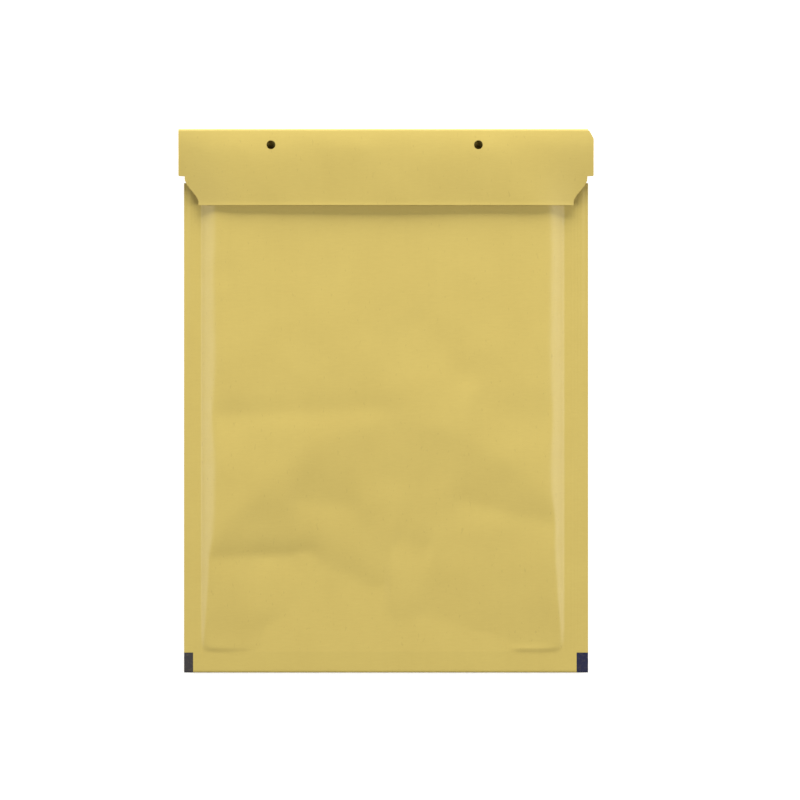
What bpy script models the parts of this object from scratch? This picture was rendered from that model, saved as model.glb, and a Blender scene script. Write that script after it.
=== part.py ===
"""Padded envelope: gold kraft paper lined with bubble film, its flap folded over the front.

The envelope lies on its back. X runs across it, Y from the bottom fold to the top crease, and Z up
through its thickness. Sizes are in metres, and each piece is laid out from the bottom fold, then moved
by its parent so that the middle of the envelope is at the origin.
"""

import math

import bmesh
import bpy
from mathutils import Matrix, Vector

# Outline of the folded envelope
BODY_WIDTH = 0.200  # across the trimmed side seams
LENGTH = 0.269  # bottom fold to top crease
SEAM_WIDTH = 0.0095  # each side seam
BOTTOM_STRIP = 0.0104  # pressed flat along the bottom fold

# Header and flap: drops are measured down from the crease, insets in from the body's sides
HEADER_OVERHANG = 0.0026  # the untrimmed header is this much wider on each side
HEADER_DROP = 0.0232  # where the header steps in
NOTCH_HEIGHT = 0.0034  # relief notch between the header and the seams
NOTCH_DEPTH = 0.0018
LIP_DROP = 0.016  # the front panel's free edge, under the flap
FLAP_DROP = 0.0377  # the flap's free edge
SHOULDER_INSET = 0.0005  # the flap just below the step
SHOULDER_HEIGHT = 0.0013  # straight, before the taper
FLAP_END_INSET = 0.0073  # the flap at its free edge
FLAP_END_HEIGHT = 0.0012  # straight, after the taper
CORNER_CUT_WIDTH = 0.0027  # the clipped right end of the crease
CORNER_CUT_HEIGHT = 0.0048

# Wicket holes through the flap
HOLE_DIAMETER = 0.0044
HOLE_DROP = 0.008
HOLE_LEFT = -0.0568
HOLE_RIGHT = 0.0456

# Materials through the thickness
PAPER = 0.00022
FILM = 0.0003
GLUE = 0.0002
LINER = 0.00015
LAYER_GAP = 0.0003  # between layers that lie on each other
BUBBLE_HEIGHT = 0.0029
BUBBLE_PITCH = 0.0139
BUBBLE_DRAFT = 0.0026  # how far a bubble narrows from its foot to its top
POCKET_GAP = 0.0005  # between the lining's two smooth sides

# How the padding and the folds shape the paper
SIDE_SLOPE = 0.012  # width of the rise beside each seam
BOTTOM_SLOPE = 0.012  # length of the rise above the bottom strip
HEADER_SLOPE = 0.017  # length of the flap's rise below the crease
CREASE_RADIUS = 0.0016  # the fold is sprung open
CREASE_RISE = 0.0024  # the back panel's clearance under the ends of the crease
CREASE_CAMBER = 0.0034  # the middle of the crease bows up by this much
CAMBER_REACH = 0.040  # from each end of the crease to its full camber
FLAP_LIFT = 0.0026  # the flap stands off the front panel
LIFT_SLOPE = 0.036  # from each end of the free edge to the full lift
BACK_RELEASE = 0.017  # the back panel rises towards the crease over this length

# Closing strip inside the flap
GLUE_WIDTH = 0.012
GLUE_MARGIN = 0.0052  # from the flap's free edge
GLUE_INSET = 0.0067  # from each end of the free edge
LINER_OVERHANG = 0.0015  # the liner is larger than the glue on every side

# Registration marks printed in the bottom corners
MARK_HEIGHT = 0.0100
MARK_WIDTH = 0.0048

# Lining's edges inside the paper
LINING_SETBACK = 0.003  # below the front panel's lip

# Heights that follow from the layers
SEAM_HALF = FILM + LAYER_GAP + PAPER / 2
PAD_RISE = POCKET_GAP / 2 + BUBBLE_HEIGHT
MID_PLANE = PAPER / 2 + SEAM_HALF + PAD_RISE
FLAP_STEP = PAPER + GLUE + LINER + 3 * LAYER_GAP
END_STEP = PAPER + LAYER_GAP  # the flap's ends have no strip under them

# Places that follow from the outline
BODY_HALF = BODY_WIDTH / 2
POCKET_HALF = BODY_HALF - SEAM_WIDTH
NOTCH_HALF = BODY_HALF - NOTCH_DEPTH
HEADER_HALF = BODY_HALF + HEADER_OVERHANG
SHOULDER_HALF = BODY_HALF - SHOULDER_INSET
FLAP_END_HALF = BODY_HALF - FLAP_END_INSET
FOLD_Y = SEAM_HALF + PAPER / 2
CREASE_Y = LENGTH - PAPER / 2 - CREASE_RADIUS
HEADER_FOOT = LENGTH - HEADER_DROP
SEAM_TOP = HEADER_FOOT - NOTCH_HEIGHT
LIP_Y = LENGTH - LIP_DROP
FLAP_END = LENGTH - FLAP_DROP
TAPER_TOP = HEADER_FOOT - SHOULDER_HEIGHT
TAPER_FOOT = FLAP_END + FLAP_END_HEIGHT
GLUE_TOP = FLAP_END + GLUE_MARGIN + GLUE_WIDTH
LINING_TOP = LIP_Y - LINING_SETBACK
LINING_FOOT = PAPER + 2 * LAYER_GAP
LINING_HALF = NOTCH_HALF - LAYER_GAP

# Fineness of the mesh
EDGE_STEP = 0.0002  # the outline steps sideways over this length
FOLD_SEGMENTS = 6
SLOPE_SEGMENTS = 3
MERGE = 0.00002


def ease_out(share):
    """A parabola from 0 to 1 that starts steep and ends level."""
    share = min(max(share, 0.0), 1.0)
    return 1.0 - (1.0 - share) ** 2


def ease_both(share):
    """A smooth step from 0 to 1, level at both ends."""
    share = min(max(share, 0.0), 1.0)
    return share * share * (3.0 - 2.0 * share)


def spread(start, end, count):
    """Evenly spaced stations from start to end, both included."""
    return [start + (end - start) * i / count for i in range(count + 1)]


def swell(x, y):
    """How far the padding stands up: 0 on the seams and the bottom strip, 1 on the flat middle."""
    across = ease_out((POCKET_HALF - abs(x)) / SIDE_SLOPE)
    along = ease_out((y - BOTTOM_STRIP) / BOTTOM_SLOPE)
    return across * along


def pad_half(x, y):
    """Height of a panel's paper from the middle plane."""
    return SEAM_HALF + PAD_RISE * swell(x, y)


def flap_arch(y):
    """How far the flap has risen from the crease: 0 at the fold, 1 where it lies over the padding."""
    return ease_out((CREASE_Y - y) / HEADER_SLOPE)


def crease_height(x):
    """Height of the crease's centre line, which bows up in the middle."""
    camber = CREASE_CAMBER * ease_out((HEADER_HALF - abs(x)) / CAMBER_REACH)
    return CREASE_RISE + PAPER / 2 + CREASE_RADIUS + camber


def flap_rest(x, y):
    """Height of the flap as it lies: its ends are pressed onto the seams, its middle over the padding."""
    bridge = ease_out((FLAP_END_HALF - abs(x)) / (FLAP_END_HALF - POCKET_HALF + SIDE_SLOPE))
    ends = MID_PLANE + SEAM_HALF + END_STEP
    full = ends + (PAD_RISE + FLAP_STEP - END_STEP) * bridge
    crease_top = crease_height(x) + CREASE_RADIUS
    return crease_top + (full - crease_top) * flap_arch(y)


def flap_height(x, y):
    """Height of the flap, sprung off the front panel between its pressed ends."""
    middle = ease_out((FLAP_END_HALF - abs(x)) / LIFT_SLOPE)
    return flap_rest(x, y) + FLAP_LIFT * middle * flap_arch(y)


def front_height(x, y):
    """Height of the front panel."""
    return MID_PLANE + pad_half(x, y)


def back_height(x, y):
    """Height of the back panel: the padding's underside, rising to the crease past the lining."""
    body = MID_PLANE - pad_half(x, y)
    release = ease_both((y - LINING_TOP) / BACK_RELEASE)
    return body + (crease_height(x) - CREASE_RADIUS - body) * release


def panel_edge(y, side):
    """Half width of the front and back panels: body, relief notch, then the wider header."""
    if y <= SEAM_TOP:
        return BODY_HALF
    if y <= HEADER_FOOT:
        return NOTCH_HALF
    return header_edge(y, side)


def header_edge(y, side):
    """Half width of the header, clipped at the right end of the crease."""
    clip = max(0.0, 1.0 - (LENGTH - y) / CORNER_CUT_HEIGHT) if side > 0 else 0.0
    return HEADER_HALF - CORNER_CUT_WIDTH * clip


def flap_edge(y, side):
    """Half width of the flap: header, step, then the tapered corners."""
    if y >= HEADER_FOOT:
        return header_edge(y, side)
    taper = ease_both((TAPER_TOP - y) / (TAPER_TOP - TAPER_FOOT))
    return SHOULDER_HALF + (FLAP_END_HALF - SHOULDER_HALF) * taper


def column_stations():
    """Columns of the sheet: up to 1 a share of the pocket's half width, from 1 to 2 across the seam."""
    flat = 1.0 - SIDE_SLOPE / POCKET_HALF
    mark = 2.0 - MARK_WIDTH / SEAM_WIDTH
    half = spread(0.0, flat, 3) + spread(flat, 1.0, SLOPE_SEGMENTS)[1:] + [mark, 2.0]
    return both_sides(half)


def both_sides(half):
    """The stations of a half that starts at the middle, with their mirror images."""
    return [-c for c in reversed(half[1:])] + half


def across(column, half_width):
    """Where a column lies on a row of a given half width."""
    if abs(column) <= 1.0:
        return column * POCKET_HALF
    reach = POCKET_HALF + (abs(column) - 1.0) * (half_width - POCKET_HALF)
    return math.copysign(reach, column)


def on_front(y):
    return lambda c: laid(c, y, panel_edge, front_height)


def on_back(y):
    return lambda c: laid(c, y, panel_edge, back_height)


def on_flap(y):
    return lambda c: laid(c, y, flap_edge, flap_height)


def laid(column, y, edge, height):
    """A point of the sheet on one of its flat-lying stretches."""
    x = across(column, edge(y, column))
    return Vector((x, y, height(x, y)))


def on_bottom_fold(angle):
    """A row on the half turn of the bottom fold, from the front panel to the back panel."""

    def point(column):
        x = across(column, BODY_HALF)
        return Vector((x, FOLD_Y - SEAM_HALF * math.cos(angle), MID_PLANE + SEAM_HALF * math.sin(angle)))

    return point


def on_crease(angle):
    """A row on the turn of the crease, from the back panel up into the flap."""

    def point(column):
        x = across(column, header_edge(LENGTH, column))
        z = crease_height(x) + CREASE_RADIUS * math.sin(angle)
        return Vector((x, CREASE_Y + CREASE_RADIUS * math.cos(angle), z))

    return point


def step_rows(y):
    """Two rows close together, where the outline steps sideways."""
    return [y + EDGE_STEP, y - EDGE_STEP]


def panel_rows():
    """Stations down the front panel, from the lip to the bottom fold, which the back panel repeats."""
    slope_top = BOTTOM_STRIP + BOTTOM_SLOPE
    header = [LIP_Y] + step_rows(HEADER_FOOT) + step_rows(SEAM_TOP)
    body = spread(SEAM_TOP - EDGE_STEP, slope_top, 5)[1:]
    foot = spread(slope_top, BOTTOM_STRIP, SLOPE_SEGMENTS)[1:] + [MARK_HEIGHT, FOLD_Y]
    return header + body + foot


def back_rows():
    """Stations up the back panel: the front panel's, then those of its rise to the crease."""
    rise = spread(LINING_TOP, LINING_TOP + BACK_RELEASE, 2 * SLOPE_SEGMENTS)
    return sorted(panel_rows()[1:] + rise)


def flap_rows():
    """Stations down the flap from the crease to its free edge."""
    arch = spread(CREASE_Y, CREASE_Y - HEADER_SLOPE, 6)
    taper = spread(TAPER_TOP, TAPER_FOOT, 5)
    rows = arch + step_rows(HEADER_FOOT) + taper + [FLAP_END]
    return sorted((y for y in rows if y >= FLAP_END), reverse=True)


def sheet_rows():
    """The rows of the sheet, from the front lip round the bottom fold and the crease to the flap's end."""
    panel = panel_rows()
    turn = spread(math.pi / 2, -math.pi / 2, FOLD_SEGMENTS)[1:-1]
    crease = spread(-math.pi / 2, math.pi / 2, FOLD_SEGMENTS)[:-1]
    rows = [on_front(y) for y in panel]
    rows += [on_bottom_fold(a) for a in turn]
    rows += [on_back(y) for y in back_rows()]
    rows += [on_crease(a) for a in crease]
    return rows + [on_flap(y) for y in flap_rows()]


def folded_grid(rows, columns):
    """A flat grid of cells whose corners are taken to their places on the folded sheet."""
    bm = bmesh.new()
    wide, high = len(columns) - 1, len(rows) - 1
    bmesh.ops.create_grid(bm, x_segments=wide, y_segments=high, size=0.5)
    for v in bm.verts:
        column = columns[round((v.co.x + 0.5) * wide)]
        row = rows[round((v.co.y + 0.5) * high)]
        v.co = row(column)
    return bm


def principled(name, color, roughness, alpha=1.0):
    """A plain Principled material."""
    material = bpy.data.materials.new(name)
    material.use_nodes = True
    shader = material.node_tree.nodes["Principled BSDF"]
    shader.inputs["Base Color"].default_value = (*color, 1.0)
    shader.inputs["Roughness"].default_value = roughness
    shader.inputs["Alpha"].default_value = alpha
    shader.inputs["Metallic"].default_value = 0.0
    return material


def add_object(name, bm, collection, materials):
    """Puts a bmesh into a named object of a collection."""
    mesh = bpy.data.meshes.new(name)
    bm.to_mesh(mesh)
    bm.free()
    for material in materials:
        mesh.materials.append(material)
    piece = bpy.data.objects.new(name, mesh)
    collection.objects.link(piece)
    return piece


def thicken(piece, thickness):
    """Gives an open surface its thickness, half to each side."""
    solid = piece.modifiers.new("thickness", "SOLIDIFY")
    solid.thickness = thickness
    solid.offset = 0.0
    solid.use_even_offset = True


def cut(piece, cutter):
    """Cuts one closed shape out of another."""
    boolean = piece.modifiers.new(cutter.name, "BOOLEAN")
    boolean.operation = "DIFFERENCE"
    boolean.solver = "EXACT"
    boolean.object = cutter


def hide_cutter(cutter):
    cutter.hide_render = True
    cutter.display_type = "WIRE"


def wicket_cutter(name, x, cutters):
    """A round punch that goes through the flap and stops in the hollow of the header."""
    y = LENGTH - HOLE_DROP
    top = flap_height(x, y) + HOLE_DIAMETER
    foot = flap_height(x, y) / 2
    bm = bmesh.new()
    bmesh.ops.create_cone(
        bm,
        cap_ends=True,
        segments=20,
        radius1=HOLE_DIAMETER / 2,
        radius2=HOLE_DIAMETER / 2,
        depth=top - foot,
        matrix=Matrix.Translation((x, y, (top + foot) / 2)),
    )
    cutter = add_object(name, bm, cutters, [])
    hide_cutter(cutter)
    return cutter


def kraft_sheet(parts, cutters):
    """The paper: one sheet folded at the bottom and at the crease, punched and printed."""
    kraft = principled("gold_kraft", (0.66, 0.52, 0.14), 0.62)
    print_ink = principled("registration_ink", (0.013, 0.014, 0.045), 0.55)
    bm = folded_grid(sheet_rows(), column_stations())
    mark_inner = BODY_HALF - MARK_WIDTH
    for face in bm.faces:
        middle = face.calc_center_median()
        low = middle.y < MARK_HEIGHT and middle.z >= MID_PLANE
        face.material_index = 1 if low and abs(middle.x) > mark_inner else 0
    sheet = add_object("kraft_sheet", bm, parts, [kraft, print_ink])
    thicken(sheet, PAPER)
    for name, x in (("left_wicket_punch", HOLE_LEFT), ("right_wicket_punch", HOLE_RIGHT)):
        cut(sheet, wicket_cutter(name, x, cutters))
    return sheet


def hex_field():
    """A field of six-sided cells that covers the lining, as a flat mesh."""
    bm = bmesh.new()
    radius = BUBBLE_PITCH / math.sqrt(3.0)
    row_step = radius * 1.5
    first = BOTTOM_STRIP + radius
    low = -math.ceil((first - LINING_FOOT) / row_step)
    high = math.ceil((LINING_TOP - first) / row_step)
    reach = math.ceil(LINING_HALF / BUBBLE_PITCH)
    shift = 0.5 * BUBBLE_PITCH if round(2 * POCKET_HALF // BUBBLE_PITCH) % 2 == 0 else 0.0
    for row in range(low, high + 1):
        stagger = shift + (0.5 * BUBBLE_PITCH if row % 2 else 0.0)
        for col in range(-reach - 1, reach + 1):
            centre = Vector((col * BUBBLE_PITCH + stagger, first + row * row_step, 0.0))
            bmesh.ops.create_circle(
                bm, cap_ends=True, radius=radius, segments=6, matrix=Matrix.Translation(centre)
            )
    bmesh.ops.remove_doubles(bm, verts=bm.verts, dist=MERGE)
    return bm


def slice_field(bm, point, normal, drop_outside):
    """Cuts the flat field along a straight line, and may drop what lies outside it."""
    everything = bm.verts[:] + bm.edges[:] + bm.faces[:]
    bmesh.ops.bisect_plane(
        bm,
        geom=everything,
        dist=MERGE,
        plane_co=point,
        plane_no=normal,
        clear_outer=drop_outside,
    )


def whole_cells(bm):
    """The cells that no seam, strip or edge cuts."""
    radius = BUBBLE_PITCH / math.sqrt(3.0)
    full_area = 1.5 * math.sqrt(3.0) * radius**2
    cells = []
    for face in bm.faces:
        middle = face.calc_center_median()
        inside = abs(middle.x) < POCKET_HALF and middle.y > BOTTOM_STRIP
        if inside and face.calc_area() > 0.999 * full_area:
            cells.append(face)
    return cells


def bubble_lining(parts, cutters):
    """The film: a web of bubbles folded at the bottom and welded along both sides into a pocket."""
    film = principled("bubble_film", (0.80, 0.82, 0.84), 0.25, 0.45)
    bm = hex_field()
    for side in (-1.0, 1.0):
        outward = Vector((side, 0.0, 0.0))
        slice_field(bm, outward * LINING_HALF, outward, True)
        slice_field(bm, outward * POCKET_HALF, outward, False)
    slice_field(bm, Vector((0.0, LINING_TOP, 0.0)), Vector((0.0, 1.0, 0.0)), True)
    slice_field(bm, Vector((0.0, LINING_FOOT, 0.0)), Vector((0.0, -1.0, 0.0)), True)
    slice_field(bm, Vector((0.0, BOTTOM_STRIP, 0.0)), Vector((0.0, 1.0, 0.0)), False)
    bmesh.ops.inset_individual(
        bm, faces=whole_cells(bm), thickness=BUBBLE_DRAFT, depth=BUBBLE_HEIGHT
    )
    for v in bm.verts:
        raised = 1.0 if v.co.z > BUBBLE_HEIGHT / 2 else 0.0
        open_share = swell(v.co.x, v.co.y)
        v.co.z = FILM + (POCKET_GAP / 2 + BUBBLE_HEIGHT * raised) * open_share
    rim = [edge for edge in bm.edges if edge.is_boundary]
    walls = bmesh.ops.extrude_edge_only(bm, edges=rim)
    for v in walls["geom"]:
        if isinstance(v, bmesh.types.BMVert):
            v.co.z = 0.0
    bmesh.ops.recalc_face_normals(bm, faces=bm.faces)
    lining = add_object("bubble_lining", bm, parts, [film])
    lining.location.z = MID_PLANE
    both = lining.modifiers.new("back_half", "MIRROR")
    both.use_axis = (False, False, True)
    both.merge_threshold = MERGE
    cut(lining, pocket_cutter(cutters))
    return lining


def pocket_cutter(cutters):
    """The thin space inside the lining, closed at the sides and bottom and open past the mouth."""
    columns = both_sides([0.0] + spread(1.0 - SIDE_SLOPE / POCKET_HALF, 1.0, SLOPE_SEGMENTS))
    past_mouth = LINING_TOP + POCKET_GAP
    slope_top = BOTTOM_STRIP + BOTTOM_SLOPE
    stations = spread(BOTTOM_STRIP, slope_top, SLOPE_SEGMENTS) + [past_mouth]

    def row_at(y, face):
        def point(column):
            x = column * POCKET_HALF
            return Vector((x, y, MID_PLANE + face * POCKET_GAP / 2 * swell(x, y)))

        return point

    loop = [row_at(y, 1.0) for y in reversed(stations)] + [row_at(y, -1.0) for y in stations[1:]]
    bm = folded_grid(loop, columns)
    bmesh.ops.remove_doubles(bm, verts=bm.verts, dist=MERGE)
    bmesh.ops.holes_fill(bm, edges=[e for e in bm.edges if e.is_boundary])
    bmesh.ops.recalc_face_normals(bm, faces=bm.faces)
    cutter = add_object("pocket_space", bm, cutters, [])
    hide_cutter(cutter)
    return cutter


def strip_under_flap(name, overhang, depth, thickness, parts, material):
    """A thin strip that follows the underside of the flap at a given depth below it."""
    half = FLAP_END_HALF - GLUE_INSET + overhang
    top = GLUE_TOP + overhang
    foot = top - GLUE_WIDTH - 2 * overhang
    inner = [c * POCKET_HALF for c in column_stations() if abs(c) * POCKET_HALF < half]
    columns = [-half] + inner + [half]

    def row_at(y):
        return lambda x: Vector((x, y, flap_height(x, y) - depth))

    rows = [row_at(y) for y in spread(top, foot, SLOPE_SEGMENTS)]
    strip = add_object(name, folded_grid(rows, columns), parts, [material])
    thicken(strip, thickness)
    return strip


def closing_strip(parts):
    """The glue on the inside of the flap and the liner that covers it."""
    glue_depth = PAPER / 2 + LAYER_GAP + GLUE / 2
    liner_depth = glue_depth + GLUE / 2 + LAYER_GAP + LINER / 2
    glue = principled("clear_adhesive", (0.75, 0.66, 0.40), 0.35)
    paper = principled("release_paper", (0.88, 0.87, 0.82), 0.40)
    strip_under_flap("adhesive_strip", 0.0, glue_depth, GLUE, parts, glue)
    strip_under_flap("release_liner", LINER_OVERHANG, liner_depth, LINER, parts, paper)


def main():
    for old in list(bpy.data.objects):
        bpy.data.objects.remove(old, do_unlink=True)
    parts = bpy.data.collections.new("padded_envelope")
    cutters = bpy.data.collections.new("cutters")
    for collection in (parts, cutters):
        bpy.context.scene.collection.children.link(collection)
    kraft_sheet(parts, cutters)
    bubble_lining(parts, cutters)
    closing_strip(parts)
    middle = bpy.data.objects.new("envelope_middle", None)
    middle.location.y = -LENGTH / 2
    parts.objects.link(middle)
    for piece in list(parts.objects) + list(cutters.objects):
        if piece is not middle:
            piece.parent = middle


main()
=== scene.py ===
import math

import bmesh
import bpy
import numpy as np
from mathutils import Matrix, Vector


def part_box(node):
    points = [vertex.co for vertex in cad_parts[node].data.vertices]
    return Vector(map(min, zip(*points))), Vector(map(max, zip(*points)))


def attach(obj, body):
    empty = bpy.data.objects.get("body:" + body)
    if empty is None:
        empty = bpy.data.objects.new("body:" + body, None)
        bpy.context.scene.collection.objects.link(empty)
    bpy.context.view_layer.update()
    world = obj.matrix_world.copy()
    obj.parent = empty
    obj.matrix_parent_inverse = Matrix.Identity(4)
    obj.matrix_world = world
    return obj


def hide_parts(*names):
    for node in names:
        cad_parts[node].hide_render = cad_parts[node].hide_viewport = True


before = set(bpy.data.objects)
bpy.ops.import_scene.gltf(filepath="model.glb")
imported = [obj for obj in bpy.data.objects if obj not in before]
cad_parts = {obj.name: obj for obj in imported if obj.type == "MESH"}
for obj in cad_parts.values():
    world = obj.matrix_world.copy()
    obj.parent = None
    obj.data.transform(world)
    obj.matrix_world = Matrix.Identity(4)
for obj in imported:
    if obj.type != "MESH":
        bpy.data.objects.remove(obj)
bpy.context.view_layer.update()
sheetLow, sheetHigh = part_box("kraft_sheet")
filmLow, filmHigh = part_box("bubble_lining")
mm = 0.001

# Sizes of the folded envelope. Places across are x from the middle, places along are
# "up", measured from the bottom fold, and depths are z, all in metres.
envelope = {
    "length": sheetHigh.y - sheetLow.y,
    "headerHalf": sheetHigh.x,
    "headerOverhang": 2.6 * mm,  # header beyond the trimmed body, each side
    "headerDrop": 23.2 * mm,  # crease to the step
    "notchHeight": 3.4 * mm,
    "notchDepth": 1.8 * mm,
    "seamWidth": 9.5 * mm,
    "bottomStrip": 10.4 * mm,
    "lipDrop": 16 * mm,
    "flapDrop": 37.7 * mm,
    "shoulderInset": 0.5 * mm,
    "shoulderHeight": 1.3 * mm,
    "flapEndInset": 7.3 * mm,
    "flapEndHeight": 1.2 * mm,
    "cornerCutWidth": 2.7 * mm,  # clipped right end of the crease
    "cornerCutHeight": 4.8 * mm,
    "sideSlope": 12 * mm,
    "bottomSlope": 12 * mm,
    "creaseRadius": 1.0 * mm,
    "creaseRise": 8.3 * mm,  # the back panel's height above the floor at the crease's ends
    "creaseCamber": 0.9 * mm,  # the crease bows up in the middle
    "camberReach": 90 * mm,
    "backRelease": 17 * mm,  # the back panel rises to the crease over this length
    "turnLength": 4 * mm,  # paper in the two folds
}

# Thicknesses through the layers
layers = {
    "paper": 0.2 * mm,
    "glue": 0.2 * mm,
    "liner": 0.15 * mm,
    "gap": 0.3 * mm,
    "bubble": 2.9 * mm,
    "pocketGap": 0.5 * mm,
    "cadPaper": 0.22 * mm,
    "cadFilm": 0.3 * mm,
    "sealTop": 6.2 * mm,  # the sealed seams lie below this height
}

bodyHalf = envelope["headerHalf"] - envelope["headerOverhang"]
pocketHalf = bodyHalf - envelope["seamWidth"]
headerFoot = envelope["length"] - envelope["headerDrop"]
seamTop = headerFoot - envelope["notchHeight"]
lipUp = envelope["length"] - envelope["lipDrop"]
flapEnd = envelope["length"] - envelope["flapDrop"]
flapEndHalf = bodyHalf - envelope["flapEndInset"]
seamHalf = layers["cadFilm"] + layers["gap"] + layers["cadPaper"] / 2
padRise = layers["pocketGap"] / 2 + layers["bubble"]
middleZ = layers["cadPaper"] / 2 + seamHalf + padRise
creaseUp = envelope["length"] - layers["cadPaper"] / 2 - envelope["creaseRadius"]
liningTop = filmHigh.y - sheetLow.y
print("sizes read from the frame")


# Eases: a parabola that starts steep and ends level, and a smooth step level at both ends
def easeOut(share):
    return 1 - (1 - np.clip(share, 0, 1)) ** 2


def easeBoth(share):
    share = np.clip(share, 0, 1)
    return share * share * (3 - 2 * share)


# Swell: how far the padding stands up, a rise beside the seams times a rise above the strip
def swell(x, up, half=pocketHalf):
    across = easeOut((half - np.abs(x)) / envelope["sideSlope"])
    along = easeOut((up - envelope["bottomStrip"]) / envelope["bottomSlope"])
    return across * along


# The front panel's padding starts nearer the left edge than the right one
frontPocket = {"middle": -1.75 * mm, "half": pocketHalf - 0.75 * mm}


# Soft creases pressed into the front panel, in millimetres. A crease runs from start to end
# (x, up) and is deep in the middle of its line; above and below are how far its two flanks
# reach, and blunt rounds its bottom.
frontCreases = [
    {"start": (-88, 127), "end": (6, 131), "deep": 0.55, "above": 9, "below": 12, "blunt": 3.0},
    {"start": (-91, 57), "end": (-34, 59), "deep": 0.75, "above": 8, "below": 14, "blunt": 1.0},
    {"start": (-66, 60), "end": (-12, 48), "deep": 0.5, "above": 9, "below": 12, "blunt": 3.0},
    {"start": (34, 86), "end": (84, 73), "deep": 0.6, "above": 9, "below": 16, "blunt": 2.5},
    {"start": (14, 13), "end": (80, 15), "deep": 0.6, "above": 18, "below": 4, "blunt": 3.0},
    {"start": (-62, 22), "end": (-30, 20), "deep": 0.25, "above": 12, "below": 4, "blunt": 3.0},
    {"start": (-20, 16), "end": (4, 17), "deep": 0.4, "above": 12, "below": 4, "blunt": 3.0},
    {"start": (-46, 86), "end": (-14, 82), "deep": 0.5, "above": 9, "below": 9, "blunt": 3.0},
    {"start": (4, 66), "end": (22, 60), "deep": 0.4, "above": 10, "below": 8, "blunt": 4.0},
    {"start": (14, 178), "end": (42, 142), "deep": 0.4, "above": 12, "below": 12, "blunt": 4.0},
    {"start": (46, 132), "end": (82, 124), "deep": 0.4, "above": 14, "below": 14, "blunt": 5.0},
]
creaseEnds = 0.25  # share of its length over which a crease fades at each end


# Crease: exp(-(sqrt(off^2 + blunt^2) - blunt) / reach) across the line, faded at both ends
def creaseDepth(x, up, crease):
    start, end = np.array(crease["start"]) * mm, np.array(crease["end"]) * mm
    run = end - start
    size = math.hypot(*run)
    along = ((x - start[0]) * run[0] + (up - start[1]) * run[1]) / size**2
    off = (run[0] * (up - start[1]) - run[1] * (x - start[0])) / size
    reach = np.where(off > 0, crease["above"], crease["below"]) * mm
    blunt = crease["blunt"] * mm
    across = np.exp(-(np.sqrt(off**2 + blunt**2) - blunt) / reach)
    fade = easeBoth(along / creaseEnds + 0.5) * easeBoth((1 - along) / creaseEnds + 0.5)
    return crease["deep"] * mm * across * fade


crown = {"reach": 30 * mm, "left": 0.6 * mm, "right": 1.1 * mm}


# Crown: the panel falls off with the square of the nearness to the side slopes
def crownDepth(x):
    near = np.clip(1 - (pocketHalf - np.abs(x)) / crown["reach"], 0, 1)
    return near**2 * np.where(x < 0, crown["left"], crown["right"])


sag = {
    "top": 127 * mm,
    "middle": 7 * mm,  # where along x the line is highest
    "pitch": 0.45,
    "ridge": 10 * mm,  # rounding of the roof's peak
    "steep": 20 * mm,  # the line falls this much more towards its ends
    "rim": 0.55 * mm,  # a quick drop just below the line
    "rimRun": 15 * mm,
    "deep": 6.5 * mm,  # and a slow one down to the bottom, which ends far short of this
    "run": 265 * mm,
    "round": 4 * mm,
    "half": 86 * mm,
    "fade": 26 * mm,
    "atSides": 0.1,  # share of the sag that is left beside the slopes
    "foot": 105 * mm,  # below this the sag widens out to the sides again
    "leftFoot": 1.3,  # and reaches this share of its depth there
    "rightFoot": 0.88,
    "stripTop": 7 * mm,  # the pressed strip stays flat up to here
    "stripBlend": 5 * mm,
    "corner": 0.3 * mm,  # softness where the plateau meets the slopes
}


# Sag: the panel's lower part sinks below a line shaped like a roof. Down a softened ramp it
# is rim * tanh(ramp / rimRun) + deep * tanh(ramp / run)
def sagDepth(x, up):
    aside = x - sag["middle"]
    roof = sag["top"] - sag["pitch"] * (np.sqrt(aside**2 + sag["ridge"] ** 2) - sag["ridge"])
    roof = roof - sag["steep"] * (aside / sag["half"]) ** 4
    below = roof - up
    ramp = (below + np.sqrt(below**2 + sag["round"] ** 2)) / 2
    inner = easeBoth((sag["half"] - np.abs(x)) / sag["fade"])
    share = sag["atSides"] + (1 - sag["atSides"]) * inner
    foot = easeBoth((sag["foot"] - up) / (sag["foot"] - envelope["bottomStrip"]))
    widest = np.where(x < 0, sag["leftFoot"], sag["rightFoot"])
    share = share + np.maximum(widest - share, 0) * foot
    rim = sag["rim"] * np.tanh(ramp / sag["rimRun"])
    return (rim + sag["deep"] * np.tanh(ramp / sag["run"])) * share


# Undulation: a sum of long sine waves in several directions, the same on every run
waves = {"seed": 7, "count": 14, "longest": 70 * mm, "shortest": 16 * mm, "height": 0.05 * mm}


def undulation(x, up, seed):
    draw = np.random.default_rng(seed)
    total = np.zeros(np.broadcast(x, up).shape)
    for _ in range(waves["count"]):
        length = draw.uniform(waves["shortest"], waves["longest"])
        turn = draw.uniform(0, math.pi)
        phase = draw.uniform(0, 2 * math.pi)
        wave = np.sin((x * math.cos(turn) + up * math.sin(turn)) * 2 * math.pi / length + phase)
        total = total + wave * length / waves["longest"]
    return total * waves["height"]


# Front rise: the lower of the padding's swell and its crumpled plateau, with a soft corner
def frontRise(x, up):
    plateau = padRise + undulation(x, up, waves["seed"]) - sagDepth(x, up) - crownDepth(x)
    for crease in frontCreases:
        plateau = plateau - creaseDepth(x, up, crease)
    swelling = padRise * swell(x - frontPocket["middle"], up, frontPocket["half"])
    lower = (swelling + plateau - np.sqrt((swelling - plateau) ** 2 + sag["corner"] ** 2)) / 2
    return np.maximum(lower, 0) * easeBoth((up - sag["stripTop"]) / sag["stripBlend"])


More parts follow.
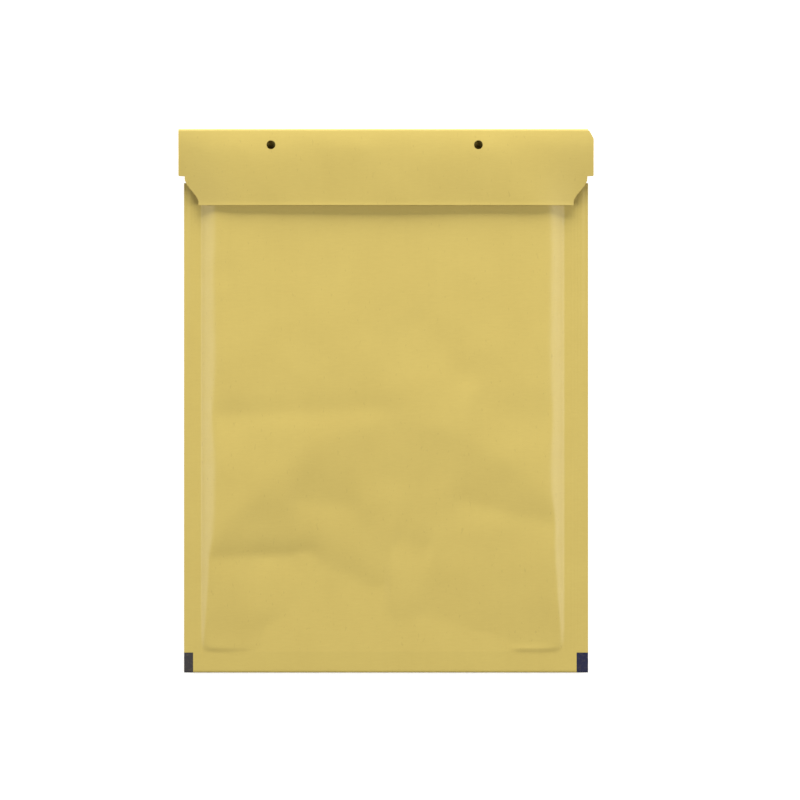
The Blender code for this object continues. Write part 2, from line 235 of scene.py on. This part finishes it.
# Seam ribs: fine crimp lines along the heat seal, a cosine across the seam, less a groove of
# depth * exp(-(off / width)^2)
ribs = {
    "pitch": 1.55 * mm,
    "height": 0.05 * mm,
    "grooveInset": 1.5 * mm,  # a deeper line near the trimmed edge, in the seam's upper part
    "grooveWidth": 0.6 * mm,
    "grooveDepth": 0.22 * mm,
    "grooveFoot": 140 * mm,
    "grooveBlend": 40 * mm,
    "sideBlend": 1.0 * mm,
    "topBlend": 3 * mm,
}


def seamRibs(x, up):
    outward = np.abs(x) - pocketHalf
    inSeam = easeBoth(outward / ribs["sideBlend"]) * easeBoth((seamTop - up) / ribs["topBlend"])
    crimps = ribs["height"] * np.cos(outward * 2 * math.pi / ribs["pitch"])
    off = (bodyHalf - ribs["grooveInset"] - np.abs(x)) / ribs["grooveWidth"]
    grooveShare = easeBoth((up - ribs["grooveFoot"]) / ribs["grooveBlend"])
    groove = ribs["grooveDepth"] * np.exp(-off * off) * grooveShare
    return (crimps - groove) * inSeam


def padHalf(x, up):
    return seamHalf + padRise * swell(x, up)


# Crease: the height of its centre line, a parabola up from each end to a level middle
def creaseHeight(x):
    inward = (envelope["headerHalf"] - np.abs(x)) / envelope["camberReach"]
    camber = envelope["creaseCamber"] * easeOut(inward)
    return envelope["creaseRise"] + layers["cadPaper"] / 2 + envelope["creaseRadius"] + camber


flapArch = {
    "rise": 0.5 * mm,  # from the crease to the top of the arch
    "riseLength": 9 * mm,
    "fall": 0.066,  # slope from the top of the arch towards the free edge
    "round": 8 * mm,
    "endDrop": 2.4 * mm,  # the flap's ends bend down towards its free edge
    "endReach": 32 * mm,
    "lipLift": 0.1 * mm,  # the last stretch turns up
    "lipLength": 2.2 * mm,
    "rippleReach": 12 * mm,  # the paper's undulation grows over this length from the crease
}


# Flap: sprung from the crease over an arch, straight across but for the free edge's ends; the
# fall is a hyperbola, fall * (sqrt(past^2 + round^2) - round)
def flapHeight(x, up):
    away = creaseUp - up
    rise = flapArch["rise"] * easeOut(away / flapArch["riseLength"])
    past = np.maximum(away - flapArch["riseLength"], 0)
    fall = flapArch["fall"] * (np.sqrt(past**2 + flapArch["round"] ** 2) - flapArch["round"])
    free = np.clip(away / (creaseUp - flapEnd), 0, 1)
    ends = easeBoth(1 - (envelope["headerHalf"] - np.abs(x)) / flapArch["endReach"])
    lip = 1 - np.clip((up - flapEnd) / flapArch["lipLength"], 0, 1)
    ripple = undulation(x, up, waves["seed"] + 1) * easeBoth(away / flapArch["rippleReach"])
    height = creaseHeight(x) + envelope["creaseRadius"] + rise - fall + flapArch["lipLift"] * lip**2
    return height - flapArch["endDrop"] * ends * free + ripple


def frontHeight(x, up):
    return middleZ + seamHalf + frontRise(x, up) + seamRibs(x, up)


# Back panel: the underside of the padding, rising to the crease past the lining's mouth
def backHeight(x, up):
    body = middleZ - padHalf(x, up) - seamRibs(x, up)
    release = easeBoth((up - liningTop) / envelope["backRelease"])
    return body + (creaseHeight(x) - envelope["creaseRadius"] - body) * release


# Half widths of the outline: header with its clipped corner, panels, and the tapered flap
def headerEdge(up, side):
    clip = np.clip(1 - (envelope["length"] - up) / envelope["cornerCutHeight"], 0, 1) * (side > 0)
    return envelope["headerHalf"] - envelope["cornerCutWidth"] * clip


def panelEdge(up, side):
    wide = np.where(up > headerFoot, headerEdge(up, side), bodyHalf - envelope["notchDepth"])
    return np.where(up <= seamTop, bodyHalf, wide)


def flapEdge(up, side):
    top = headerFoot - envelope["shoulderHeight"]
    foot = flapEnd + envelope["flapEndHeight"]
    shoulder = bodyHalf - envelope["shoulderInset"]
    taper = shoulder + (flapEndHalf - shoulder) * easeBoth((top - up) / (top - foot))
    return np.where(up >= headerFoot, headerEdge(up, side), taper)


# Column places: a share of the pocket up to 1, then 1 to 2 across the seam to the edge
def acrossAt(column, half):
    seam = pocketHalf + (np.abs(column) - 1) * (half - pocketHalf)
    return np.where(np.abs(column) <= 1, column * pocketHalf, np.sign(column) * seam)


# Stations: steps from start to end whose size follows a spacing rule at each place
def stationsBy(start, end, spacing):
    samples = 4000
    fine = np.linspace(start, end, samples)
    density = 1 / spacing(fine)
    total = np.concatenate([[0], np.cumsum((density[1:] + density[:-1]) / 2)])
    count = max(2, int(round(total[-1] * abs(end - start) / (samples - 1))))
    return np.interp(np.linspace(0, total[-1], count + 1), total, fine)


holes = {
    "diameter": 4.4 * mm,
    "drop": 8 * mm,
    "places": (-56.8 * mm, 45.6 * mm),
    "ring": 3,  # grid cells from the centre to the rim
    "blend": 6,  # grid cells over which the round ring becomes square again
    "fineReach": 6 * mm,  # columns are fine this far around a hole
}
sheetMesh = {
    "middleStep": 1.75 * mm,
    "slopeStep": 0.85 * mm,
    "seamStep": 0.6 * mm,
    "frontStep": 2.0 * mm,
    "footStep": 0.9 * mm,
    "backStep": 5.0 * mm,
    "flapStep": 0.73 * mm,
    "edgeStep": 0.1 * mm,  # from a row to the place where the outline steps sideways
    "turns": 10,
}


def columnShares():
    flat = pocketHalf - envelope["sideSlope"]

    def spacing(x):
        size = np.where(np.abs(x) > flat, sheetMesh["slopeStep"], sheetMesh["middleStep"])
        for place in holes["places"]:
            size = np.where(np.abs(x - place) < holes["fineReach"], sheetMesh["flapStep"], size)
        return size

    # each stretch between two hole centres has its own stations, so a column runs through each
    knots = [-pocketHalf, *holes["places"], pocketHalf]
    stretches = [stationsBy(a, b, spacing)[:-1] for a, b in zip(knots[:-1], knots[1:])]
    inner = np.concatenate([*stretches, [pocketHalf]]) / pocketHalf
    seamCount = int(round(envelope["seamWidth"] / sheetMesh["seamStep"]))
    outer = 1 + np.arange(1, seamCount + 1) / seamCount
    return np.concatenate([-outer[::-1], inner, outer])


# Folded sheet: rows go down the front, round the bottom fold, up the back, round the crease
# and down the flap; a turn is middle + radius * (cos, sin)
def foldedSheet():
    columns = columnShares()[None, :]
    footTop = envelope["bottomStrip"] + envelope["bottomSlope"]
    foldUp = seamHalf + layers["cadPaper"] / 2
    step = sheetMesh["edgeStep"]
    creaseEdge = headerEdge(envelope["length"], columns)

    def panelSpacing(up):
        return np.where(up > footTop, sheetMesh["frontStep"], sheetMesh["footStep"])

    def backSpacing(up):
        near = (up < footTop) | (up > seamTop)
        return np.where(near, sheetMesh["footStep"] * 2, sheetMesh["backStep"])

    def flapSpacing(up):
        return np.full_like(up, sheetMesh["flapStep"])

    def foldHeight(x):
        return middleZ

    def laid(ups, edge, height):
        ups = np.asarray(ups)[:, None]
        x = acrossAt(columns, edge(ups, columns))
        return np.stack([x, ups + 0 * x, height(x, ups)], axis=-1)

    def turned(angles, upMiddle, height, radius, half):
        angles = np.asarray(angles)[:, None]
        x = acrossAt(columns, half) + 0 * angles
        up = upMiddle + radius * np.cos(angles) + 0 * x
        return np.stack([x, up, height(x) + radius * np.sin(angles) + 0 * x], axis=-1)

    steps = [headerFoot + step, headerFoot - step, seamTop + step, seamTop - step]
    front = np.concatenate([
        stationsBy(lipUp, headerFoot + step, panelSpacing)[:-1],
        steps[:3],
        stationsBy(seamTop - step, foldUp, panelSpacing),
    ])
    back = np.concatenate([
        stationsBy(foldUp, seamTop - step, backSpacing),
        steps[2:0:-1],
        stationsBy(headerFoot + step, creaseUp, backSpacing),
    ])
    holeUp = envelope["length"] - holes["drop"]
    flap = np.concatenate([
        stationsBy(creaseUp, holeUp, flapSpacing)[:-1],
        stationsBy(holeUp, headerFoot + step, flapSpacing),
        stationsBy(headerFoot - step, flapEnd, flapSpacing),
    ])
    half = np.pi / 2
    bottomTurn = np.linspace(half, 3 * half, sheetMesh["turns"] + 1)[1:-1]
    creaseTurn = np.linspace(-half, half, sheetMesh["turns"] + 1)[1:-1]
    grid = np.concatenate([
        laid(front, panelEdge, frontHeight),
        turned(bottomTurn, foldUp, foldHeight, seamHalf, bodyHalf),
        laid(back, panelEdge, backHeight),
        turned(creaseTurn, creaseUp, creaseHeight, envelope["creaseRadius"], creaseEdge),
        laid(flap, flapEdge, flapHeight),
    ])
    flapStart = len(grid) - len(flap)
    holeRow = flapStart + int(np.argmin(np.abs(flap - holeUp)))
    return grid, holeRow, columns[0]


# Round hole: grid cells within the ring go, and the squares of cells round it are eased from
# circles of growing radius to the plain grid
def punchHoles(grid, holeRow, columns):
    keep = np.ones((grid.shape[0] - 1, grid.shape[1] - 1), bool)
    ring, blendTo = holes["ring"], holes["blend"]
    cells = np.arange(-blendTo, blendTo + 1)
    rows, cols = np.meshgrid(cells, cells, indexing="ij")
    level = np.maximum(np.abs(rows), np.abs(cols))
    radius = level * holes["diameter"] / 2 / ring
    share = easeBoth((blendTo - level) / (blendTo - ring))[..., None]
    for place in holes["places"]:
        col = int(np.argmin(np.abs(columns * pocketHalf - place)))
        keep[holeRow - ring:holeRow + ring, col - ring:col + ring] = False
        centre = grid[holeRow, col, :2].copy()
        around = grid[holeRow - blendTo:holeRow + blendTo + 1, col - blendTo:col + blendTo + 1]
        flat = around[..., :2] - centre
        reach = np.maximum(np.linalg.norm(flat, axis=-1), 1e-9)
        moved = flat * (1 - share) + flat / reach[..., None] * radius[..., None] * share
        around[..., :2] = centre + moved
        around[..., 2] = flapHeight(around[..., 0], around[..., 1])
    return keep


# Normals: the cross product of the grid's two directions
def gridNormals(grid):
    normals = np.cross(np.gradient(grid, axis=1), np.gradient(grid, axis=0))
    return normals / np.linalg.norm(normals, axis=-1, keepdims=True)


# Thick sheet: the grid moved half a thickness each way along its normals, joined by walls
# wherever a kept cell has no kept neighbour
def thickSheet(grid, thickness, keep):
    rows, cols = grid.shape[:2]
    offset = gridNormals(grid) * thickness / 2
    points = np.concatenate([(grid + offset).reshape(-1, 3), (grid - offset).reshape(-1, 3)])
    index = np.arange(rows * cols).reshape(rows, cols)
    a, b, c, d = index[:-1, :-1], index[:-1, 1:], index[1:, 1:], index[1:, :-1]
    top = np.stack([a, d, c, b], axis=-1)[keep]
    under = np.stack([a, b, c, d], axis=-1)[keep] + rows * cols
    padded = np.pad(keep, 1)
    walls = []
    for down, right, first, second in ((-1, 0, a, b), (1, 0, c, d), (0, -1, d, a), (0, 1, b, c)):
        beside = padded[1 + down:rows + down, 1 + right:cols + right]
        bare = keep & ~beside
        p, q = first[bare], second[bare]
        walls.append(np.stack([p, q, q + rows * cols, p + rows * cols], axis=-1))
    return points, np.concatenate([top, under, *walls])


# Puts points and four-cornered faces into a mesh object, without the points no face uses
def meshObject(name, points, faces, sharpAngle=50):
    used, faces = np.unique(faces, return_inverse=True)
    points, faces = points[used], faces.reshape(-1, 4)
    points = points + np.array([0, sheetLow.y, 0])
    mesh = bpy.data.meshes.new(name)
    mesh.vertices.add(len(points))
    mesh.vertices.foreach_set("co", points.astype(np.float32).ravel())
    mesh.loops.add(faces.size)
    mesh.loops.foreach_set("vertex_index", faces.astype(np.int32).ravel())
    mesh.polygons.add(len(faces))
    mesh.polygons.foreach_set("loop_start", np.arange(len(faces), dtype=np.int32) * 4)
    mesh.update(calc_edges=True)
    mesh.validate()
    mesh.shade_smooth()
    mesh.set_sharp_from_angle(angle=math.radians(sharpAngle))
    piece = bpy.data.objects.new(name, mesh)
    bpy.context.scene.collection.objects.link(piece)
    print(name, "has", len(faces), "faces")
    return piece


# One socket of a shader tree, with arithmetic that adds Math nodes
class Value:
    def __init__(self, tree, socket):
        self.tree, self.socket = tree, socket

    def math(self, operation, *others):
        return node(self.tree, "ShaderNodeMath", {"operation": operation}, [self, *others])

    def __add__(self, other):
        return self.math("ADD", other)

    def __mul__(self, other):
        return self.math("MULTIPLY", other)

    def __sub__(self, other):
        return self.math("SUBTRACT", other)

    def __rsub__(self, other):
        return node(self.tree, "ShaderNodeMath", {"operation": "SUBTRACT"}, [other, self])

    def __truediv__(self, other):
        return self.math("DIVIDE", other)

    __radd__, __rmul__ = __add__, __mul__

    def above(self, edge, soft):
        return ((self - edge) / soft + 0.5).math("MAXIMUM", 0).math("MINIMUM", 1)


# Any other node: its settings first, then the values or links of its sockets
def node(tree, kind, settings=None, inputs=None, output=0):
    made = tree.nodes.new(kind)
    for name, value in (settings or {}).items():
        setattr(made, name, value)
    pairs = inputs.items() if isinstance(inputs, dict) else enumerate(inputs or [])
    for key, value in pairs:
        if isinstance(value, Value):
            tree.links.new(value.socket, made.inputs[key])
        else:
            made.inputs[key].default_value = value
    return Value(tree, made.outputs[output]) if made.outputs else None


def newMaterial(name):
    material = bpy.data.materials.new(name)
    material.use_nodes = True
    material.node_tree.nodes.clear()
    return material, material.node_tree


def finishMaterial(tree, shader):
    node(tree, "ShaderNodeOutputMaterial", None, {"Surface": shader})


# A Mix node's colours are its inputs 6 and 7, and their mix is its output 2
def mixColors(tree, share, first, second):
    return node(tree, "ShaderNodeMix", {"data_type": "RGBA"}, {0: share, 6: first, 7: second}, 2)


# The place on the piece in metres, so that every texture keeps its real size
def objectPlace(tree):
    return node(tree, "ShaderNodeTexCoord", output=3)


def noise(tree, place, scale, detail, roughness):
    return node(tree, "ShaderNodeTexNoise", None, {
        "Vector": place,
        "Scale": scale,
        "Detail": detail,
        "Roughness": roughness,
    })


def stretched(tree, place, turn, scale):
    return node(tree, "ShaderNodeMapping", None, {
        "Vector": place,
        "Rotation": (0, 0, turn),
        "Scale": scale,
    })


def bumped(tree, strength, distance, height):
    return node(tree, "ShaderNodeBump", None, {
        "Strength": strength,
        "Distance": distance,
        "Height": height,
    })


kraft = {
    "light": (0.698, 0.542, 0.150, 1),
    "dark": (0.623, 0.472, 0.124, 1),
    "sealedLight": (0.677, 0.526, 0.144, 1),
    "sealedDark": (0.604, 0.458, 0.119, 1),
    "fleck": (0.430, 0.300, 0.075, 1),
    "roughness": 0.31,
    "specular": 0.32,
    "ink": (0.007, 0.008, 0.038, 1),
    "leftInk": (0.034, 0.030, 0.032, 1),
    "markHeight": 10 * mm,
    "leftMark": 4.5 * mm,
    "rightMark": 5.7 * mm,
    "toneMiddle": 0.61,  # the noise where light and dark paper are even
    "toneSpread": 0.75,
    "sealEdge": 0.8 * mm,  # softness of the sealed strips' borders
    "printEdge": 0.15 * mm,  # and of the marks'
}


# Kraft paper: cloudy tone, crossing fibres, a few dark flecks, printed corner marks and a
# fine tooth in the bump
def kraftMaterial():
    material, tree = newMaterial("goldKraft")
    place = objectPlace(tree)
    clouds = noise(tree, place, 42, 3, 0.55)
    fibreA = noise(tree, stretched(tree, place, 0.35, (260, 1500, 700)), 1, 2, 0.6)
    fibreB = noise(tree, stretched(tree, place, -0.9, (260, 1500, 700)), 1, 2, 0.6)
    machine = noise(tree, stretched(tree, place, 0, (420, 22, 420)), 1, 2, 0.5)
    tone = clouds * 0.5 + fibreA * 0.3 + fibreB * 0.3 + machine * 0.12
    tone = tone.above(kraft["toneMiddle"], kraft["toneSpread"])
    paper = mixColors(tree, tone, kraft["dark"], kraft["light"])
    flecks = noise(tree, stretched(tree, place, 0.7, (900, 350, 900)), 1, 1, 0.5).above(0.73, 0.05)
    paper = mixColors(tree, flecks * 0.2, paper, kraft["fleck"])
    split = node(tree, "ShaderNodeSeparateXYZ", None, [place])
    x, y, z = (Value(tree, split.socket.node.outputs[i]) for i in range(3))
    up = y - sheetLow.y
    aside = (x - frontPocket["middle"]).math("ABSOLUTE")
    seams = aside.above(frontPocket["half"], kraft["sealEdge"])
    seams = seams * (1 - z.above(layers["sealTop"], 0.5 * mm)) * (1 - up.above(seamTop, 1 * mm))
    strip = 1 - up.above(envelope["bottomStrip"], kraft["sealEdge"])
    sealed = seams.math("MAXIMUM", strip)
    sealedPaper = mixColors(tree, tone, kraft["sealedDark"], kraft["sealedLight"])
    paper = mixColors(tree, sealed, paper, sealedPaper)
    soft = kraft["printEdge"]
    low = 1 - up.above(kraft["markHeight"], soft)
    front = z.above(middleZ, 0.1 * mm)
    leftMark = (x * -1).above(bodyHalf - kraft["leftMark"], soft) * low * front
    rightMark = x.above(bodyHalf - kraft["rightMark"], soft) * low * front
    worn = noise(tree, place, 900, 2, 0.6).above(0.36, 0.25)
    paper = mixColors(tree, leftMark * (worn * 0.10 + 0.90), paper, kraft["leftInk"])
    paper = mixColors(tree, rightMark * (worn * 0.05 + 0.95), paper, kraft["ink"])
    tooth = noise(tree, place, 2600, 3, 0.6) * 0.5 + fibreA * 0.3 + fibreB * 0.3
    bump = bumped(tree, 0.22, 0.06 * mm, tooth)
    rough = noise(tree, place, 160, 2, 0.5) * 0.12 + (kraft["roughness"] - 0.06)
    shader = node(tree, "ShaderNodeBsdfPrincipled", None, {
        "Base Color": paper,
        "Roughness": rough,
        "Specular IOR Level": kraft["specular"],
        "Normal": bump,
    })
    finishMaterial(tree, shader)
    return material


def buildPaper():
    grid, holeRow, columns = foldedSheet()
    keep = punchHoles(grid, holeRow, columns)
    points, faces = thickSheet(grid, layers["paper"], keep)
    paper = meshObject("kraftPaper", points, faces)
    paper.data.materials.append(kraftMaterial())
    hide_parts("kraft_sheet")
    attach(paper, "root")
    return paper


bubbles = {
    "pitch": 13.9 * mm,
    "radius": 5.9 * mm,
    "crown": 3.2,  # higher is flatter on top and steeper at the rim
    "gridStep": 1.2 * mm,
    "pocketRows": 30,
    "clear": 0.08 * mm,  # kept free under the paper's creases
    "touch": 0.01 * mm,  # a cell that reaches this far past a border still counts as whole
    "weld": 0.002 * mm,
}


# Bubble cells: rows of centres, every other row shifted by half a pitch. Gives how far each
# point is from the nearest centre, and that centre
def nearestBubble(x, up):
    cell = bubbles["pitch"] / math.sqrt(3)
    first = envelope["bottomStrip"] + cell
    best = np.full(x.shape, 1e9)
    centreX, centreUp = np.zeros(x.shape), np.zeros(x.shape)
    base = np.floor((up - first) / (1.5 * cell))
    for row in (base, base + 1):
        shift = np.where(row % 2 == 1, 0.5 * bubbles["pitch"], 0)
        cx = np.round((x - shift) / bubbles["pitch"]) * bubbles["pitch"] + shift
        cy = first + row * 1.5 * cell
        reach = np.hypot(x - cx, up - cy)
        nearer = reach < best
        best = np.where(nearer, reach, best)
        centreX, centreUp = np.where(nearer, cx, centreX), np.where(nearer, cy, centreUp)
    return best, centreX, centreUp, cell


# Pressed: how far the front panel lies below its full swell, shared between the two webs
def pressed(x, up):
    return np.minimum(frontRise(x, up) - padRise * swell(x, up), 0) / 2


# Film: a web with a dome at each centre, 1 - (r / radius)^crown raised to 0.5, as high as
# the paper above it allows
def filmGrid(xs, ups, side):
    up, x = np.meshgrid(ups, xs, indexing="ij")
    reach, cx, cy, cell = nearestBubble(x, up)
    whole = np.abs(cx) + bubbles["pitch"] / 2 <= pocketHalf
    whole &= cy - cell >= envelope["bottomStrip"] - bubbles["touch"]
    whole &= cy + cell <= ups.max() + bubbles["touch"]
    # points close to a rim move onto it, so that the domes are round
    edge = np.abs(reach - bubbles["radius"]) < bubbles["gridStep"] * 0.5
    inner = (xs > xs[0]) & (xs < xs[-1])
    snap = edge & whole & inner[None, :]
    scale = np.where(snap, bubbles["radius"] / np.maximum(reach, 1e-9), 1)
    x, up = cx + (x - cx) * scale, cy + (up - cy) * scale
    reach = np.where(snap, bubbles["radius"], reach)
    free = swell(x, up)
    web = layers["cadFilm"] + layers["pocketGap"] / 2 * free
    press = pressed(x, up)
    room = np.maximum(layers["cadFilm"] + padRise * free + press - bubbles["clear"] - web, 0)
    dome = np.sqrt(1 - np.clip(reach / bubbles["radius"], 0, 1) ** bubbles["crown"]) * whole
    return np.stack([x, up, middleZ + press + side * (web + room * dome)], axis=-1)


def gridFaces(rows, cols, start):
    index = start + np.arange(rows * cols).reshape(rows, cols)
    quads = np.stack([index[:-1, :-1], index[:-1, 1:], index[1:, 1:], index[1:, :-1]], axis=-1)
    return quads.reshape(-1, 4)


# Lining: the two webs outside, the pocket's two walls inside, and strips that close the
# sides, the foot and the mouth; shared points are merged afterwards
def buildFilm():
    foot, top = filmLow.y - sheetLow.y, filmHigh.y - sheetLow.y
    half = filmHigh.x
    step = bubbles["gridStep"]
    seamCount = int(round((half - pocketHalf) / step))
    seam = np.linspace(pocketHalf, half, seamCount + 1)[1:]
    inside = np.linspace(-pocketHalf, pocketHalf, int(round(2 * pocketHalf / step)) + 1)
    xs = np.concatenate([-seam[::-1], inside, seam])
    ups = np.linspace(foot, top, int(round((top - foot) / step)) + 1)
    front, back = filmGrid(xs, ups, 1), filmGrid(xs, ups, -1)
    pocketFoot = envelope["bottomStrip"]
    pocketRows = np.linspace(pocketFoot, top, bubbles["pocketRows"])
    pocketUp, pocketX = np.meshgrid(pocketRows, inside, indexing="ij")
    gap = layers["pocketGap"] / 2 * swell(pocketX, pocketUp)
    plane = middleZ + pressed(pocketX, pocketUp)
    pocket = [np.stack([pocketX, pocketUp, plane + side * gap], axis=-1) for side in (1, -1)]
    middle = (front[-1] + back[-1]) / 2
    mouth = slice(seamCount, len(xs) - seamCount)
    leftSeam, rightSeam = slice(None, seamCount + 1), slice(-seamCount - 1, None)
    grids = [
        front,
        back,
        *pocket,
        np.stack([front[0], back[0]]),
        np.stack([front[:, 0], back[:, 0]]),
        np.stack([front[:, -1], back[:, -1]]),
        np.stack([front[-1, mouth], pocket[0][-1]]),
        np.stack([back[-1, mouth], pocket[1][-1]]),
        np.stack([front[-1, leftSeam], middle[leftSeam], back[-1, leftSeam]]),
        np.stack([front[-1, rightSeam], middle[rightSeam], back[-1, rightSeam]]),
    ]
    points = [grid.reshape(-1, 3) for grid in grids]
    starts = np.cumsum([0] + [len(part) for part in points[:-1]])
    placed = zip(grids, starts)
    faces = np.concatenate([gridFaces(*grid.shape[:2], start) for grid, start in placed])
    film = meshObject("bubbleFilm", np.concatenate(points), faces, sharpAngle=60)
    mergeAndTurnOut(film)
    film.data.materials.append(filmMaterial())
    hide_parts("bubble_lining")
    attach(film, "root")
    return film


# Welds points that lie together and turns every face outwards
def mergeAndTurnOut(piece):
    build = bmesh.new()
    build.from_mesh(piece.data)
    bmesh.ops.remove_doubles(build, verts=build.verts, dist=bubbles["weld"])
    bmesh.ops.dissolve_degenerate(build, edges=build.edges, dist=bubbles["weld"] / 2)
    bmesh.ops.recalc_face_normals(build, faces=build.faces)
    build.to_mesh(piece.data)
    build.free()


# Clear film: glossy, slightly milky, with faint draw lines
def filmMaterial():
    material, tree = newMaterial("clearFilm")
    place = objectPlace(tree)
    drawn = noise(tree, stretched(tree, place, 0, (500, 30, 500)), 1, 2, 0.5)
    haze = noise(tree, place, 60, 2, 0.5)
    bump = bumped(tree, 0.12, 0.05 * mm, drawn)
    tone = mixColors(tree, haze, (0.78, 0.81, 0.84, 1), (0.88, 0.90, 0.92, 1))
    shader = node(tree, "ShaderNodeBsdfPrincipled", None, {
        "Base Color": tone,
        "Roughness": haze * 0.10 + 0.12,
        "IOR": 1.5,
        "Alpha": drawn * 0.10 + 0.45,
        "Normal": bump,
    })
    finishMaterial(tree, shader)
    return material


closing = {
    "glueWidth": 12 * mm,
    "glueAboveEdge": 5.2 * mm,
    "glueInset": 6.7 * mm,
    "linerOverhang": 1.5 * mm,
    "bond": 0.02 * mm,
    "step": 1.6 * mm,
    "rows": 10,
}


# A strip under the flap, following the flap's underside at a fixed depth
def stripUnderFlap(name, overhang, depth, thickness, material):
    half = flapEndHalf - closing["glueInset"] + overhang
    foot = flapEnd + closing["glueAboveEdge"] - overhang
    top = foot + closing["glueWidth"] + 2 * overhang
    ups = np.linspace(top, foot, closing["rows"])
    xs = np.linspace(-half, half, int(round(2 * half / closing["step"])) + 1)
    up, x = np.meshgrid(ups, xs, indexing="ij")
    grid = np.stack([x, up, flapHeight(x, up) - depth], axis=-1)
    keep = np.ones((grid.shape[0] - 1, grid.shape[1] - 1), bool)
    strip = meshObject(name, *thickSheet(grid, thickness, keep))
    strip.data.materials.append(material)
    return strip


# Hot-melt glue: honey coloured, glossy, dimpled
def glueMaterial():
    material, tree = newMaterial("stickyGlue")
    place = objectPlace(tree)
    dimples = noise(tree, place, 380, 2, 0.5)
    bump = bumped(tree, 0.4, 0.1 * mm, dimples)
    tone = mixColors(tree, dimples, (0.52, 0.42, 0.17, 1), (0.66, 0.56, 0.27, 1))
    shader = node(tree, "ShaderNodeBsdfPrincipled", None, {
        "Base Color": tone,
        "Roughness": dimples * 0.2 + 0.15,
        "Normal": bump,
    })
    finishMaterial(tree, shader)
    return material


# Release paper: smooth coated white with a faint fibre tone
def linerMaterial():
    material, tree = newMaterial("releasePaper")
    place = objectPlace(tree)
    fibres = noise(tree, stretched(tree, place, 0.5, (500, 1400, 900)), 1, 3, 0.6)
    bump = bumped(tree, 0.1, 0.03 * mm, fibres)
    tone = mixColors(tree, fibres, (0.76, 0.75, 0.70, 1), (0.84, 0.83, 0.79, 1))
    shader = node(tree, "ShaderNodeBsdfPrincipled", None, {
        "Base Color": tone,
        "Roughness": fibres * 0.1 + 0.32,
        "Normal": bump,
    })
    finishMaterial(tree, shader)
    return material


def buildClosing():
    glueDepth = layers["paper"] / 2 + closing["bond"] + layers["glue"] / 2
    linerDepth = glueDepth + layers["glue"] / 2 + closing["bond"] + layers["liner"] / 2
    glue = stripUnderFlap("adhesiveStrip", 0, glueDepth, layers["glue"], glueMaterial())
    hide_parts("adhesive_strip")
    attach(glue, "root")
    overhang = closing["linerOverhang"]
    liner = stripUnderFlap("releaseLiner", overhang, linerDepth, layers["liner"], linerMaterial())
    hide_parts("release_liner")
    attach(liner, "root")


# Softboxes: place and size in metres, power in watts; and how bright the world shines
lights = {
    "head": {"at": (0.0, 2.09, 0.68), "size": (2.0, 1.17), "power": 83.0},
    "left": {"at": (-1.05, -0.02, 1.15), "size": (0.5, 0.9), "power": 6.8},
    "right": {"at": (1.0, -0.02, 1.1), "size": (0.6, 0.9), "power": 8.3},
    "world": 0.08,
}
camera = {
    "height": 2.5,
    "frame": 0.396,  # width of the view at the envelope
    "sensor": 36.0,
    "aim": (6.9 * mm, 0.5 * mm, 5 * mm),
    "farthest": 20,
}
floorPaper = {"size": 12, "white": (0.86, 0.86, 0.86, 1), "glow": 0.62}


def buildLights():
    for name in ("head", "left", "right"):
        setup = lights[name]
        lamp = bpy.data.lights.new(name + "Softbox", "AREA")
        lamp.shape = "RECTANGLE"
        lamp.size, lamp.size_y = setup["size"]
        lamp.energy = setup["power"]
        box = bpy.data.objects.new(name + "Softbox", lamp)
        box.location = setup["at"]
        box.rotation_euler = Vector(setup["at"]).to_track_quat("Z", "Y").to_euler()
        bpy.context.scene.collection.objects.link(box)


# 1 for rays from the camera and for what it sees in or through a glossy surface
def seenRays(tree):
    path = node(tree, "ShaderNodeLightPath").socket.node.outputs
    kinds = ("Is Camera Ray", "Is Glossy Ray", "Is Transmission Ray")
    direct, glossy, through = (Value(tree, path[kind]) for kind in kinds)
    return direct.math("MAXIMUM", glossy).math("MAXIMUM", through)


# World: plain grey light, seen as white
def buildWorld():
    world = bpy.data.worlds.new("studio")
    world.use_nodes = True
    tree = world.node_tree
    tree.nodes.clear()
    seen = seenRays(tree)
    strength = seen * (1 - lights["world"]) + lights["world"]
    backdrop = node(tree, "ShaderNodeBackground", None, {
        "Color": (1, 1, 1, 1),
        "Strength": strength,
    })
    node(tree, "ShaderNodeOutputWorld", None, {"Surface": backdrop})
    bpy.context.scene.world = world


# Floor: white paper that keeps the shadow and is lifted to white where it is seen
def buildFloor():
    bpy.ops.mesh.primitive_plane_add(size=floorPaper["size"], location=(0, 0, 0))
    floor = bpy.context.object
    floor.name = "floor"
    material, tree = newMaterial("floorWhite")
    diffuse = node(tree, "ShaderNodeBsdfDiffuse", None, {"Color": floorPaper["white"]})
    strength = seenRays(tree) * floorPaper["glow"]
    glow = node(tree, "ShaderNodeEmission", None, {"Color": (1, 1, 1, 1), "Strength": strength})
    finishMaterial(tree, node(tree, "ShaderNodeAddShader", None, [diffuse, glow]))
    floor.data.materials.append(material)


def buildCamera():
    data = bpy.data.cameras.new("camera")
    data.sensor_width = camera["sensor"]
    data.lens = camera["sensor"] * camera["height"] / camera["frame"]
    data.clip_end = camera["farthest"]
    eye = bpy.data.objects.new("camera", data)
    eye.location = Vector(camera["aim"]) + Vector((0, 0, camera["height"]))
    bpy.context.scene.collection.objects.link(eye)
    bpy.context.scene.camera = eye


buildCamera()
buildLights()
buildWorld()
buildFloor()
print("camera, lights and floor are set")
buildPaper()
print("paper is folded")
buildFilm()
buildClosing()
print("lining and closing strip are in")
bpy.context.scene.view_settings.view_transform = "Standard"
